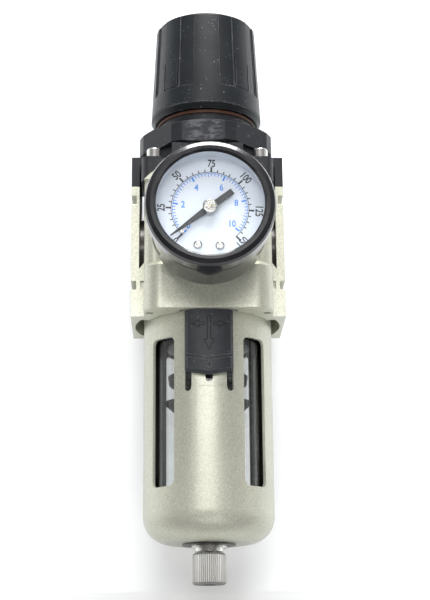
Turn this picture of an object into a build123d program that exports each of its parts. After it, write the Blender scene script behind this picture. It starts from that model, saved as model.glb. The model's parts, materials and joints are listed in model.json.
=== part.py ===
from build123d import *
import os
from math import cos, pi, radians, sin

# Modular filter regulator: ported body, gauge, adjusting knob and guarded bowl.
# Millimetres. Z is the axis of knob and bowl, air flows along X and the gauge
# faces -Y. The origin is the middle of the port centreline.

# Clearances
running_gap = 0.10
seat_gap = 0.05
loose_gap = 0.30

# Ports and clamp flanges
face_width = 53.0
port_tap_radius = 7.475
port_depth = 12.0
flange_depth = 30.0
flange_thickness = 2.8
pocket_width = 1.8
pocket_floor = -9.7
pocket_slope = 2.5
port_boss_radius = 12.5
notch_level = 15.6
notch_height = 3.1
notch_depth = 1.8
hook_width = 1.3
hook_depth = 1.0

# Body castings
underside = -26.7
joint_plane = 20.45
core_front = 22.5
core_corner = 4.0
block_front = 26.6
block_top = -10.0
block_corner = 6.0
block_bevel = 1.6
arch_radius = 30.0
arch_thickness = 3.0
mark_offset = 1.6
mark_width = 1.1
mark_height = 3.6
mark_relief = 0.35
foot_hole_x = 19.8
foot_hole_y = 19.2
foot_hole_radius = 1.3
foot_hole_depth = 3.0

# Air chambers inside the body
sense_radius = 13.0
sense_floor = 14.0
web_thickness = 3.0
upper_radius = 11.0
seat_plane = -2.2
seat_thickness = 2.2
seat_bore = 5.0
valve_chamber_radius = 8.5
stub_radius = 11.0
stub_bottom = -19.0
annulus_roof = -9.5
aspirator_radius = 1.2
aspirator_offset = 6.0
inlet_drop_radius = 3.2
outlet_pass_radius = 4.5
outlet_pass_level = 4.5
gauge_pass_radius = 1.2
gauge_pass_offset = 3.3

# Bayonet between body and bowl guard
ledge_thickness = 3.5
socket_roof = -18.2
lug_reach = 2.3
lug_height = 2.5
lug_angle = 34.0
side_gap_angle = 51.0
front_gap_angle = 48.0
gap_relief = 0.4

# Bonnet
screw_pitch = 37.0
screw_boss_radius = 4.6
screw_boss_top = 29.0
ear_top = 31.4
ear_pocket_top = 28.0
brow_half_width = 12.4
brow_top = 34.0
drum_radius = 22.0
nut_plane = 34.4
panel_thread_radius = 19.0
thread_top = 44.5
neck_radius = 17.5
neck_top = 47.6
tower_radius = 14.5
tower_headroom = 14.5
tower_roof = 4.0
spring_bore = 11.5
skirt_bore = 13.6
skirt_roof = 30.0
key_width = 3.0
key_reach = 1.2

# Bonnet screws
screw_radius = 1.6
screw_head_radius = 2.7
screw_head_height = 3.8
screw_length = 20.0
screw_socket = 2.6

# Ring nut and indicator ring
nut_height = 8.0
nut_half_flat = 23.6
nut_half_corner = 24.7
nut_bevel = 1.6
nut_turn = -3.5
indicator_radius = 18.0
indicator_height = 1.0

# Adjusting screw, spring seat and main spring
adjust_radius = 4.0
adjust_tail = 9.0
collar_radius = 7.0
collar_height = 2.4
drive_flat = 9.0
drive_headroom = 1.5
spring_seat_radius = 11.2
spring_seat_drop = 14.0
spring_seat_height = 6.0
spring_pilot_radius = 7.4
spring_pilot_height = 2.5
main_wire = 2.2
main_coil_radius = 9.0
main_turns = 6

# Knob
knob_lip_radius = 18.8
knob_radius = 20.0
knob_lip_height = 2.2
knob_groove = 0.35
knob_skirt = 9.1
knob_top = 86.7
knob_top_radius = 18.24
knob_wall = 1.9
knob_roof = 2.2
knob_top_round = 0.8
panel_edges = (14.0, 31.0, 54.0, 71.0)
panel_recess = 0.6
tab_panel_recess = 0.3
tab_angle = 42.5
tab_span = 20.0
tab_length = 11.4
tab_slot = 0.6
hub_radius = 8.0
hub_lift = 2.0

# Diaphragm and valve
diaphragm_radius = 17.0
diaphragm_rim = 1.6
diaphragm_rim_inner = 13.4
diaphragm_disc = 11.6
diaphragm_rise = 2.35
diaphragm_skin = 1.2
plate_radius = 11.2
plate_thickness = 1.5
plate_pilot_radius = 6.4
plate_pilot_height = 2.2
relief_shank_radius = 3.0
relief_washer_radius = 5.0
relief_washer = 1.0
relief_bore = 1.0
stem_radius = 1.9
poppet_radius = 6.9
poppet_height = 3.0
rubber_height = 1.1
rubber_inner = 4.0
tail_radius = 2.0
tail_length = 5.2
valve_travel = 1.2
guide_disc = 3.9
guide_boss = 5.4
guide_boss_radius = 3.6
valve_wire = 0.8
valve_coil_radius = 5.2
valve_turns = 4
vent_radius = 1.1
vent_count = 6

# Filter pack
deflector_skin = 1.4
deflector_top = -14.0
deflector_flare_top = -20.0
deflector_flare_bottom = -24.0
deflector_radius = 14.6
deflector_edge = -35.2
deflector_point = -35.9
vane_count = 8
vane_gap = 0.8
vane_thickness = 1.2
vane_height = 7.0
vane_tilt = 35.0
element_radius = 10.8
element_bore = 6.5
element_bottom = -44.2
holder_radius = 13.9
holder_shoulder = 12.2
holder_rim = -45.3
holder_lip_radius = 13.4
holder_lip = -48.0
holder_bottom = -49.0
holder_foot = 11.5
baffle_hub = 5.0
baffle_top = -53.2
baffle_flat = 11.75
baffle_gap = 1.6
baffle_rim = -54.5
baffle_bottom = -57.4
bolt_radius = 2.0
bolt_head_radius = 4.0
bolt_head_height = 2.6
bolt_engagement = 3.2

# Bowl and guard
guard_radius = 22.3
guard_wall = 1.2
guard_bottom = -101.9
guard_corner = 9.0
guard_top = -20.4
window_angle = 44.3
window_width = 10.0
window_low = -84.8
window_high = -34.7
window_round = 2.0
bowl_gap = 0.7
bowl_wall = 3.6
neck_step = 1.8
bowl_top = -10.2
bowl_flange = 1.8
bowl_floor = 3.3
bowl_seal_level = -14.4
seal_section = 0.8

# Lock button in the guard's front
lock_width = 16.1
lock_thickness = 2.6
lock_bevel = 0.9
lock_corner = 1.2
lock_side = -47.4
lock_point = -48.9
lock_groove_side = -41.8
lock_groove = 0.5
lock_groove_width = 0.9
lock_dot_radius = 1.05
lock_dot_bore = 0.6
lock_dot_rise = 0.15
lock_dot_level = -45.8
lock_slot_angle = 18.5
lock_slot_width = 2.18
lock_slot_low = -53.9
lock_slot_high = -27.6
lock_leg_width = 1.5
lock_leg_low = -44.0
lock_leg_high = -32.0
tongue_inset = 0.5
tongue_low = -52.4
tongue_notch_width = 2.4
tongue_notch_low = -50.8
spring_pocket_half = 1.25
spring_pocket_top = -31.0
spring_tab_low = -43.2
spring_tab_height = 1.0
lock_wire = 0.25
lock_coil_radius = 0.6
lock_turns = 6

# Drain cock
drain_bore = 4.2
drain_shank = 4.0
drain_flange_radius = 7.0
drain_flange = 1.8
drain_seal_radius = 5.6
drain_seal_section = 0.5
drain_throat = 1.5
drain_cavity = 2.8
drain_throat_length = 3.4
drain_end_inset = 0.3
washer_radius = 9.0
washer_thickness = 0.6
washer_dish = 0.5
cock_nut_radius = 6.0
cock_nut_height = 0.8
cock_collar_radius = 4.8
cock_collar_height = 1.2
cock_stem_radius = 2.5
cock_stem_reach = 5.5
cock_cone_length = 1.4
cock_radius = 5.9
cock_gap = 0.5
cock_length = 10.3
cock_ridges = 50
cock_ridge_depth = 0.3
cock_bevel = 0.8
cock_outlet_radius = 2.0

# Pressure gauge, distances measured forward of the port centreline
gauge_level = -1.7
gauge_boss_radius = 8.0
gauge_boss_face = 25.2
gauge_thread_radius = 4.8
gauge_thread_depth = 8.5
hex_flat = 11.0
hex_back = 26.6
case_back = 31.5
case_front = 54.6
case_radius = 19.4
case_wall = 0.8
case_round = 3.0
crimp_drop = 6.6
crimp_depth = 0.35
bezel_radius = 20.8
bezel_opening = 17.15
bezel_overlap = 2.8
bezel_roll = 0.9
bezel_reach = 5.7
bezel_flat_radius = 18.9
bezel_shoulder_drop = 1.8
lens_radius = 18.6
lens_recess = 1.2
lens_thickness = 1.3
dial_recess = 1.6
dial_thickness = 0.6
dial_radius = 18.2
dial_rim = 0.4
dial_hole = 1.4
dial_screw_radius = 1.45
dial_screw_x = 3.5
dial_screw_drop = 12.3
dial_screw_height = 0.75
dial_turn = -2.0
pin_radius = 0.6
pin_height = 1.9
pin_reach = 12.1
pin_angle = 222.7
needle_rest = 217.0
needle_tip = 15.8
needle_tail = 9.0
needle_tail_width = 2.0
needle_root_width = 2.2
needle_tip_width = 0.35
needle_gap = 1.2
needle_thickness = 0.35
hub_cap_radius = 2.35
hub_cap_height = 1.45
hub_collar_radius = 1.9
spindle_radius = 0.7
movement_width = 13.0
movement_height = 17.0
movement_plate = 1.2
movement_drop = 9.0
movement_gap = 6.0
tube_path_radius = 13.4
tube_section = 2.0
tube_sweep = 250.0

# Sizes that follow from those above
half_face = face_width / 2
half_flange = flange_depth / 2
plate_inner = half_face - flange_thickness
core_half = plate_inner - pocket_width
lug_radius = guard_radius + lug_reach
groove_radius = lug_radius + loose_gap
gap_radius = groove_radius + gap_relief
rim_bore = guard_radius + loose_gap
ledge_top = underside + ledge_thickness
screw_offset = screw_pitch / 2
tower_top = knob_top - knob_roof - tower_headroom
tower_ceiling = tower_top - tower_roof
spring_seat_low = tower_ceiling - spring_seat_drop
adjust_bottom = spring_seat_low - adjust_tail
drive_top = knob_top - knob_roof - drive_headroom
hub_bottom = tower_top + hub_lift
knob_bottom = neck_top + indicator_height + loose_gap
knob_groove_level = knob_bottom + knob_lip_height
knob_step = knob_bottom + knob_skirt
tab_top = knob_step + tab_length
disc_top = joint_plane + diaphragm_rise
disc_low = disc_top - diaphragm_skin
plate_top = disc_top + plate_thickness
poppet_top = seat_plane - seat_gap - rubber_height
poppet_low = poppet_top - poppet_height
tail_low = poppet_low - tail_length
guide_low = stub_bottom + running_gap
guide_disc_top = guide_low + guide_disc
guide_top = guide_disc_top + guide_boss
guard_bore = guard_radius - guard_wall
guard_floor = guard_bottom + guard_wall
bowl_radius = guard_bore - bowl_gap
bowl_bore = bowl_radius - bowl_wall
bowl_corner = guard_corner - guard_wall
baffle_radius = bowl_bore - baffle_gap
bowl_neck = bowl_radius - neck_step
neck_bore = bowl_neck + loose_gap
vane_reach = bowl_bore - vane_gap
bowl_low = guard_floor + loose_gap
bowl_inside = bowl_low + bowl_floor
bowl_flange_top = guard_top + bowl_flange
washer_low = guard_bottom - washer_thickness
cock_nut_low = washer_low - cock_nut_height
cock_collar_low = cock_nut_low - cock_collar_height
drain_end = cock_collar_low + drain_end_inset
cock_top = cock_collar_low - cock_gap
cock_bottom = cock_top - cock_length
cock_stem_low = cock_top - cock_stem_reach
tongue_radius = guard_radius - tongue_inset
lock_inner = guard_radius + loose_gap
lock_outer = lock_inner + lock_thickness
lock_top = underside - seat_gap - running_gap
lock_drop = lock_side - lock_point
crimp_level = case_front - crimp_drop
bezel_back = case_front - bezel_overlap
bezel_front = case_front + bezel_reach
bezel_shoulder = bezel_front - bezel_shoulder_drop
lens_front = bezel_front - lens_recess
dial_face = case_front - dial_recess
needle_back = dial_face + needle_gap
movement_back = dial_face - movement_drop
base = (Align.CENTER, Align.CENTER, Align.MIN)


def drum(radius, low, high):
    """Upright cylinder between two levels."""
    return Pos(0, 0, low) * Cylinder(radius, high - low, align=base)


def ring(outer, inner, low, high):
    """Upright tube between two levels."""
    return drum(outer, low, high) - drum(inner, low, high)


def post(x, y, radius, low, high):
    """Upright cylinder away from the axis."""
    return Pos(x, y, 0) * drum(radius, low, high)


def block(x0, x1, y0, y1, z0, z1):
    """Box given by its faces."""
    size = Box(x1 - x0, y1 - y0, z1 - z0, align=(Align.MIN, Align.MIN, Align.MIN))
    return Pos(x0, y0, z0) * size


def slab(width, depth, corner, low, high):
    """Upright block with rounded corners."""
    return Pos(0, 0, low) * extrude(RectangleRounded(width, depth, corner), high - low)


def turned(points):
    """Revolved solid from corners given as radius and level."""
    outline = make_face(Polyline(*points, close=True))
    return revolve(Plane.XZ * outline, Axis.Z)


def along_x(radius, x0, x1, z):
    """Round bar along X."""
    return Pos(x0, 0, z) * Rot(0, 90, 0) * Cylinder(radius, x1 - x0, align=base)


def facing(shape):
    """Moves a shape drawn looking at its face to the front of the gauge."""
    return Pos(0, 0, gauge_level) * Rot(90, 0, 0) * shape


def wedge(start, end, reach, low, high):
    """Sector of a disc, angles from the front, positive towards +X."""
    mid = (start + end) / 2
    far = reach / cos(radians((end - start) / 2))
    corners = [(0, 0)]
    for angle in (start, mid, end):
        span = far if angle != mid else reach
        corners.append((span * sin(radians(angle)), -span * cos(radians(angle))))
    outline = make_face(Polyline(*corners, close=True))
    return Pos(0, 0, low) * extrude(outline, high - low)


def around(shape, count):
    """Equally spaced copies about the axis."""
    return [Rot(0, 0, i * 360 / count) * shape for i in range(count)]


def coil(radius, wire, turns, low, high):
    """Compression spring that fills the space between two levels."""
    rise = high - low - wire
    path = Pos(0, 0, low + wire / 2) * Helix(rise / turns, rise, radius)
    section = Plane(path @ 0, z_dir=path % 0) * RegularPolygon(wire / 2, 8)
    return sweep(section, path, is_frenet=True)


def four(x, y):
    """The four mirrored places of a point."""
    return [(sx * x, sy * y) for sx in (-1, 1) for sy in (-1, 1)]


def arch(gap):
    """Segment of the body that stands up into the front and back of the bonnet."""
    bar = Rot(90, 0, 0) * Cylinder(arch_radius + gap, 2 * (core_front + gap))
    top = block(-core_half, core_half, -core_front - gap, core_front + gap, joint_plane, arch_radius + gap)
    inner = core_front - arch_thickness - gap
    hollow = block(-core_half, core_half, -inner, inner, joint_plane, arch_radius + gap)
    return (bar & top) - hollow


def body_outside():
    """Core, lower block, clamp flanges, gauge bosses and casting marks."""
    solid = slab(2 * core_half, 2 * core_front, core_corner, underside, joint_plane)
    lower = slab(2 * core_half, 2 * block_front, block_corner, underside, block_top)
    lower = chamfer(lower.faces().sort_by(Axis.Z)[-1].edges(), block_bevel)
    solid += lower
    solid += block(-half_face, half_face, -half_flange, half_flange, underside, joint_plane)
    solid += arch(0)
    bar = Cylinder(gauge_boss_radius, 2 * gauge_boss_face)
    solid += Pos(0, 0, gauge_level) * Rot(90, 0, 0) * bar
    pocket = make_face(Polyline(
        (core_half, pocket_floor + pocket_slope), (plate_inner, pocket_floor),
        (plate_inner, joint_plane), (core_half, joint_plane), close=True))
    pocket = extrude(Plane.XZ * pocket, half_flange, both=True)
    pocket -= along_x(port_boss_radius, 0, half_face, 0)
    solid -= [pocket, mirror(pocket, Plane.YZ)]
    for level in (notch_level, -notch_level):
        low, high = level - notch_height / 2, level + notch_height / 2
        groove = block(half_face - notch_depth, half_face, -half_flange, half_flange, low, high)
        solid -= [groove, mirror(groove, Plane.YZ)]
    for side_x, side_y in four(1, 1):
        hook = block(0, hook_width, 0, hook_depth, -notch_level - notch_height / 2, notch_height / 2 - notch_level)
        x = core_half if side_x > 0 else -core_half - hook_width
        y = half_flange - hook_depth if side_y > 0 else -half_flange
        solid -= Pos(x, y, 0) * hook
    for x, y in four(foot_hole_x, foot_hole_y):
        solid -= post(x, y, foot_hole_radius, underside, underside + foot_hole_depth)
    for side in (-1, 1):
        x = side * mark_offset
        low = underside + running_gap
        solid += block(x - mark_width / 2, x + mark_width / 2, -block_front - mark_relief,
                       -block_front, low, low + mark_height)
    return solid


def body():
    """Die-cast body with ports, chambers, valve seat and bayonet socket."""
    solid = body_outside()
    solid -= drum(rim_bore, underside, socket_roof)
    solid -= drum(groove_radius, ledge_top, socket_roof)
    for middle, span in ((0, front_gap_angle), (90, side_gap_angle), (180, front_gap_angle), (270, side_gap_angle)):
        way = wedge(middle - span / 2, middle + span / 2, gap_radius + 1, underside, socket_roof)
        solid -= way & drum(gap_radius, underside, socket_roof)
    solid -= ring(neck_bore, stub_radius, socket_roof, annulus_roof)
    solid += ring(stub_radius, valve_chamber_radius, stub_bottom, annulus_roof)
    seal_groove = neck_bore + 2 * seal_section - running_gap
    solid -= ring(seal_groove, neck_bore - running_gap, bowl_seal_level - seal_section - running_gap,
                  bowl_seal_level + seal_section + running_gap)
    solid -= drum(valve_chamber_radius, stub_bottom, seat_plane)
    solid -= drum(seat_bore, seat_plane, seat_plane + seat_thickness)
    upper_floor = seat_plane + seat_thickness
    solid -= drum(upper_radius, upper_floor, sense_floor - web_thickness)
    solid -= drum(stem_radius + running_gap, upper_floor, sense_floor)
    solid -= post(aspirator_offset, 0, aspirator_radius, upper_floor, sense_floor)
    solid -= drum(sense_radius, sense_floor, joint_plane)
    solid -= drum(diaphragm_radius + seat_gap, joint_plane - diaphragm_rim, joint_plane)
    port_end = half_face - port_depth
    solid -= along_x(port_tap_radius, port_end, half_face, 0)
    solid -= along_x(port_tap_radius, -half_face, -port_end, 0)
    solid -= along_x(outlet_pass_radius, upper_radius / 2, port_end + 1, outlet_pass_level)
    solid -= post(-port_end - inlet_drop_radius, 0, inlet_drop_radius, annulus_roof - 1, -port_tap_radius / 2)
    thread_end = gauge_boss_face - gauge_thread_depth
    tap = Pos(0, 0, thread_end) * Cylinder(gauge_thread_radius, gauge_thread_depth, align=base)
    passage = Pos(0, gauge_pass_offset, 0) * Cylinder(gauge_pass_radius, gauge_boss_face, align=base)
    passage &= Pos(0, 0, upper_radius / 2) * Cylinder(gauge_boss_radius, thread_end - upper_radius / 2 + 1, align=base)
    solid -= [facing(tap), mirror(facing(tap), Plane.XZ), facing(passage), mirror(facing(passage), Plane.XZ)]
    for x, y in four(screw_offset, screw_offset):
        solid -= post(x, y, screw_radius + seat_gap, screw_boss_top - screw_length - 1, joint_plane + arch_radius)
    return solid


def bonnet():
    """Moulded bonnet with ears, screw bosses, panel thread and spring tower."""
    solid = slab(2 * core_half, 2 * core_front, core_corner, joint_plane, ear_pocket_top)
    solid += block(-half_face, half_face, -half_flange, half_flange, joint_plane, ear_top)
    gap = block(core_half, plate_inner, -half_flange, half_flange, joint_plane, ear_pocket_top)
    solid -= [gap, mirror(gap, Plane.YZ)]
    for x, y in four(screw_offset, screw_offset):
        solid += post(x, y, screw_boss_radius, joint_plane, screw_boss_top)
    solid &= slab(2 * half_face, 2 * core_front, core_corner, joint_plane, ear_top)
    solid += block(-brow_half_width, brow_half_width, -core_front, core_front, joint_plane, brow_top)
    solid += drum(drum_radius, joint_plane, nut_plane)
    for x, y in four(screw_offset, screw_offset):
        solid -= post(x, y, screw_head_radius + loose_gap, screw_boss_top, nut_plane)
        solid -= post(x, y, screw_radius + seat_gap, joint_plane, screw_boss_top)
    solid -= arch(running_gap)
    solid += drum(panel_thread_radius, nut_plane, thread_top)
    solid += drum(neck_radius, thread_top, neck_top)
    solid += drum(tower_radius, neck_top, tower_top)
    solid -= drum(skirt_bore, joint_plane, skirt_roof)
    solid -= drum(spring_bore, joint_plane, tower_ceiling)
    solid -= drum(adjust_radius + 2 * loose_gap, joint_plane, tower_top)
    reach = spring_seat_radius + key_reach + loose_gap
    half_key = key_width / 2 + running_gap
    keyway = block(-reach, reach, -half_key, half_key, skirt_roof, spring_seat_low + spring_seat_height + loose_gap)
    return solid - keyway


def bonnet_screws():
    """Four socket screws that hold the bonnet."""
    low = screw_boss_top - screw_length
    top = screw_boss_top + screw_head_height
    screw = drum(screw_radius, low, screw_boss_top)
    screw += fillet(drum(screw_head_radius, screw_boss_top, top).edges().sort_by(Axis.Z)[-1], 0.5)
    hexagon = RegularPolygon(screw_socket / 2, 6, major_radius=False)
    screw -= Pos(0, 0, top - screw_head_height / 2) * extrude(hexagon, screw_head_height)
    return Compound([Pos(x, y, 0) * screw for x, y in four(screw_offset, screw_offset)])


def ring_nut():
    """Eight-sided panel nut with cut corners and bevelled ends."""
    flats = RegularPolygon(nut_half_flat, 8, major_radius=False, rotation=22.5 + nut_turn)
    corners = RegularPolygon(nut_half_corner, 8, major_radius=False, rotation=nut_turn)
    low, high = nut_plane, nut_plane + nut_height
    edge = nut_half_corner / cos(radians(22.5))
    envelope = turned([(0, low), (nut_half_flat, low), (edge, low + nut_bevel), (edge, high - nut_bevel),
                       (nut_half_flat, high), (0, high)])
    solid = Pos(0, 0, low) * extrude(flats & corners, nut_height)
    return (solid & envelope) - drum(panel_thread_radius + seat_gap, low, high)


def indicator_ring():
    """Coloured ring that shows while the knob is lifted."""
    return ring(indicator_radius, tower_radius + loose_gap, neck_top, neck_top + indicator_height)


def adjust_screw():
    """Screw with thrust collar and hexagon drive for the knob."""
    collar_top = tower_ceiling - running_gap
    solid = drum(adjust_radius, adjust_bottom, tower_top + loose_gap)
    solid += drum(collar_radius, collar_top - collar_height, collar_top)
    drive = RegularPolygon(drive_flat / 2, 6, major_radius=False)
    return solid + Pos(0, 0, tower_top + loose_gap) * extrude(drive, drive_top - tower_top - loose_gap)


def spring_seat():
    """Keyed nut that the screw drives down on the spring."""
    top = spring_seat_low + spring_seat_height
    solid = drum(spring_seat_radius, spring_seat_low, top)
    solid += drum(spring_pilot_radius, spring_seat_low - spring_pilot_height, top)
    reach = spring_seat_radius + key_reach
    keys = block(-reach, reach, -key_width / 2, key_width / 2, spring_seat_low, top)
    return solid + keys - drum(adjust_radius + running_gap, spring_seat_low - spring_pilot_height, top)


def main_spring():
    """Pressure setting spring."""
    return coil(main_coil_radius, main_wire, main_turns, plate_top, spring_seat_low)


def knob_side(inset, level):
    """Radius of the tapered knob at a level."""
    share = (level - knob_groove_level) / (knob_top - knob_groove_level)
    return knob_radius + (knob_top_radius - knob_radius) * share - inset


def knob():
    """Adjusting knob with raised panels, snap tabs and a hexagon socket."""
    groove_top = knob_groove_level + knob_groove
    solid = turned([(0, knob_bottom), (knob_lip_radius, knob_bottom), (knob_radius, knob_groove_level - knob_groove),
                    (knob_radius, knob_groove_level), (knob_radius - knob_groove, knob_groove_level),
                    (knob_radius - knob_groove, groove_top), (knob_side(0, groove_top), groove_top),
                    (knob_top_radius, knob_top), (0, knob_top)])
    solid = fillet(solid.edges().sort_by(Axis.Z)[-1], knob_top_round)
    for depth, first, last in ((panel_recess, 0, 1), (tab_panel_recess, 1, 2), (panel_recess, 2, 3)):
        shell = turned([(knob_side(depth, knob_step), knob_step), (knob_radius + 1, knob_step),
                        (knob_radius + 1, knob_top), (knob_side(depth, knob_top), knob_top)])
        part = shell & wedge(panel_edges[first], panel_edges[last], 2 * knob_radius, knob_step, knob_top)
        solid -= [Rot(0, 0, 0) * part, mirror(part, Plane.YZ), mirror(part, Plane.XZ)]
        solid -= mirror(mirror(part, Plane.XZ), Plane.YZ)
    solid -= drum(knob_top_radius - knob_wall, knob_bottom, knob_top - knob_roof)
    half = knob_radius * sin(radians(tab_span / 2))
    outer = block(-half, half, -2 * knob_radius, -knob_top_radius / 2, knob_step, tab_top)
    inner = block(-half + tab_slot, half - tab_slot, -2 * knob_radius, 0, knob_step + tab_slot, tab_top)
    for angle in (tab_angle, -tab_angle, 180 - tab_angle, 180 + tab_angle):
        solid -= Rot(0, 0, angle) * (outer - inner)
    solid += drum(hub_radius, hub_bottom, knob_top - knob_roof)
    socket = RegularPolygon(drive_flat / 2 + running_gap, 6, major_radius=False)
    return solid - Pos(0, 0, hub_bottom) * extrude(socket, knob_top - knob_roof - hub_bottom)


def diaphragm():
    """Rubber diaphragm, rim clamped between body and bonnet."""
    low = joint_plane - diaphragm_rim
    return turned([(relief_shank_radius + seat_gap, disc_low), (diaphragm_disc - 1, disc_low),
                   (diaphragm_rim_inner - diaphragm_skin, low), (diaphragm_radius, low),
                   (diaphragm_radius, joint_plane), (diaphragm_rim_inner, joint_plane),
                   (diaphragm_disc, disc_top), (relief_shank_radius + seat_gap, disc_top)])


def diaphragm_plate():
    """Pressed plate that carries the main spring."""
    solid = drum(plate_radius, disc_top, plate_top)
    solid += drum(plate_pilot_radius, plate_top, plate_top + plate_pilot_height)
    solid -= drum(plate_pilot_radius - plate_thickness, plate_top, plate_top + plate_pilot_height)
    return solid - drum(relief_shank_radius, disc_top, plate_top)


def relief_seat():
    """Rivet through the diaphragm with the bleed hole that the stem closes."""
    low = disc_low - relief_washer
    solid = drum(relief_shank_radius, low, plate_top) + drum(relief_washer_radius, low, disc_low)
    return solid - drum(relief_bore, low, plate_top)


def valve_stem():
    """Stem, poppet and tail in one turned piece."""
    tip = disc_low - relief_washer - seat_gap
    solid = drum(stem_radius, poppet_low, tip - stem_radius)
    solid += turned([(0, tip - stem_radius), (stem_radius, tip - stem_radius), (relief_bore / 2, tip), (0, tip)])
    solid += drum(poppet_radius, poppet_low, poppet_top)
    return solid + drum(tail_radius, tail_low, poppet_low)


def valve_rubber():
    """Moulded sealing ring on the poppet."""
    return ring(poppet_radius, rubber_inner, poppet_top, poppet_top + rubber_height)


def valve_spring():
    """Return spring below the poppet."""
    return coil(valve_coil_radius, valve_wire, valve_turns, guide_disc_top, poppet_low)


def valve_guide():
    """Vented plug that guides the valve tail and takes the centre bolt."""
    solid = drum(valve_chamber_radius - seat_gap, guide_low, guide_disc_top)
    solid += drum(guide_boss_radius, guide_low, guide_top)
    solid -= drum(tail_radius + running_gap, tail_low - valve_travel - 1, guide_top)
    solid -= drum(bolt_radius + seat_gap, guide_low, guide_low + bolt_engagement + running_gap)
    middle = (guide_boss_radius + valve_chamber_radius) / 2
    return solid - around(post(middle, 0, vent_radius, guide_low, guide_disc_top), vent_count)


def gauge_port_plug():
    """Plug in the gauge port at the back."""
    thread = Pos(0, 0, gauge_boss_face - gauge_thread_depth + 1) * Cylinder(
        gauge_thread_radius - seat_gap, gauge_thread_depth - 1, align=base)
    head = Pos(0, 0, gauge_boss_face) * extrude(RegularPolygon(hex_flat / 2, 6, major_radius=False), 1.4)
    socket = Pos(0, 0, gauge_boss_face - 2) * extrude(RegularPolygon(2.5, 6, major_radius=False), 4)
    return mirror(facing(thread + head - socket), Plane.XZ)


def deflector():
    """Swirl deflector with slanted vanes round a flared skirt."""
    bore = stub_radius + seat_gap
    collar = bore + deflector_skin
    inner = deflector_radius - deflector_skin
    solid = turned([(bore, deflector_top), (collar, deflector_top), (collar, deflector_flare_top),
                    (deflector_radius, deflector_flare_bottom), (deflector_radius, deflector_edge),
                    (baffle_flat, deflector_point), (baffle_flat, deflector_edge + deflector_skin),
                    (inner, deflector_edge + 2 * deflector_skin), (inner, deflector_flare_bottom),
                    (bore, deflector_flare_top - deflector_skin)])
    blade = Box(2 * deflector_skin + vane_reach - collar, vane_thickness, vane_height)
    blade = Pos((collar + vane_reach) / 2, 0, deflector_flare_top) * Rot(vane_tilt, 0, 0) * blade
    trim = ring(vane_reach, collar - deflector_skin / 2, deflector_flare_bottom, deflector_top)
    for vane in around(blade & trim, vane_count):
        solid += vane
    return solid


def filter_element():
    """Sintered filter sleeve."""
    return ring(element_radius, element_bore, element_bottom, stub_bottom)


def element_holder():
    """Tapered cap below the filter sleeve."""
    bore = bolt_radius + seat_gap
    return turned([(bore, element_bottom), (holder_shoulder, element_bottom), (holder_radius, holder_rim),
                   (holder_lip_radius, holder_lip), (holder_foot, holder_bottom), (bore, holder_bottom)])


def lower_baffle():
    """Lens-shaped baffle that keeps collected water still."""
    bore = bolt_radius + seat_gap
    return turned([(bore, holder_bottom), (baffle_hub, holder_bottom), (baffle_hub, baffle_top),
                   (baffle_flat, baffle_top), (baffle_radius, baffle_rim), (baffle_flat, baffle_bottom),
                   (bore, baffle_bottom)])


def centre_bolt():
    """Bolt that draws the filter pack up against the body."""
    solid = drum(bolt_radius, baffle_bottom, guide_low + bolt_engagement)
    solid += drum(bolt_head_radius, baffle_bottom - bolt_head_height, baffle_bottom)
    slot = block(-bolt_head_radius, bolt_head_radius, -0.5, 0.5, baffle_bottom - bolt_head_height,
                 baffle_bottom - bolt_head_height / 2)
    return solid - slot


def bowl_seal():
    """Ring seal between body and bowl neck."""
    return Pos(0, 0, bowl_seal_level) * Torus(bowl_neck + seat_gap + seal_section, seal_section)


def bowl():
    """Clear bowl with seal neck, carrying flange and drain hole."""
    solid = drum(bowl_radius, bowl_low, bowl_flange_top)
    solid = fillet(solid.edges().sort_by(Axis.Z)[0], bowl_corner)
    solid += drum(guard_radius, guard_top, bowl_flange_top)
    solid += drum(bowl_neck, bowl_flange_top, bowl_top)
    cavity = drum(bowl_bore, bowl_inside, bowl_top)
    wall = bowl_radius - bowl_bore
    solid -= fillet(cavity.edges().sort_by(Axis.Z)[0], bowl_corner - wall)
    return solid - drum(drain_bore, bowl_low, bowl_inside)


def guard_shell():
    """Drawn metal cup with windows and bayonet lugs."""
    solid = fillet(drum(guard_radius, guard_bottom, guard_top).edges().sort_by(Axis.Z)[0], guard_corner)
    inside = drum(guard_bore, guard_floor, guard_top)
    solid -= fillet(inside.edges().sort_by(Axis.Z)[0], guard_corner - guard_wall)
    solid -= drum(drain_bore, guard_bottom, guard_floor)
    height = window_high - window_low
    window = Rot(90, 0, 0) * extrude(RectangleRounded(window_width, height, window_round), 2 * guard_radius)
    window = Pos(0, 0, (window_low + window_high) / 2) * window
    for angle in (window_angle, -window_angle, 180 - window_angle, 180 + window_angle):
        solid -= Rot(0, 0, angle) * window
    lug = ring(lug_radius, guard_radius - guard_wall / 2, guard_top - lug_height, guard_top)
    for angle in (45, 135, 225, 315):
        solid += lug & wedge(angle - lug_angle / 2, angle + lug_angle / 2, 2 * guard_radius,
                             guard_top - lug_height, guard_top)
    return solid


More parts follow.
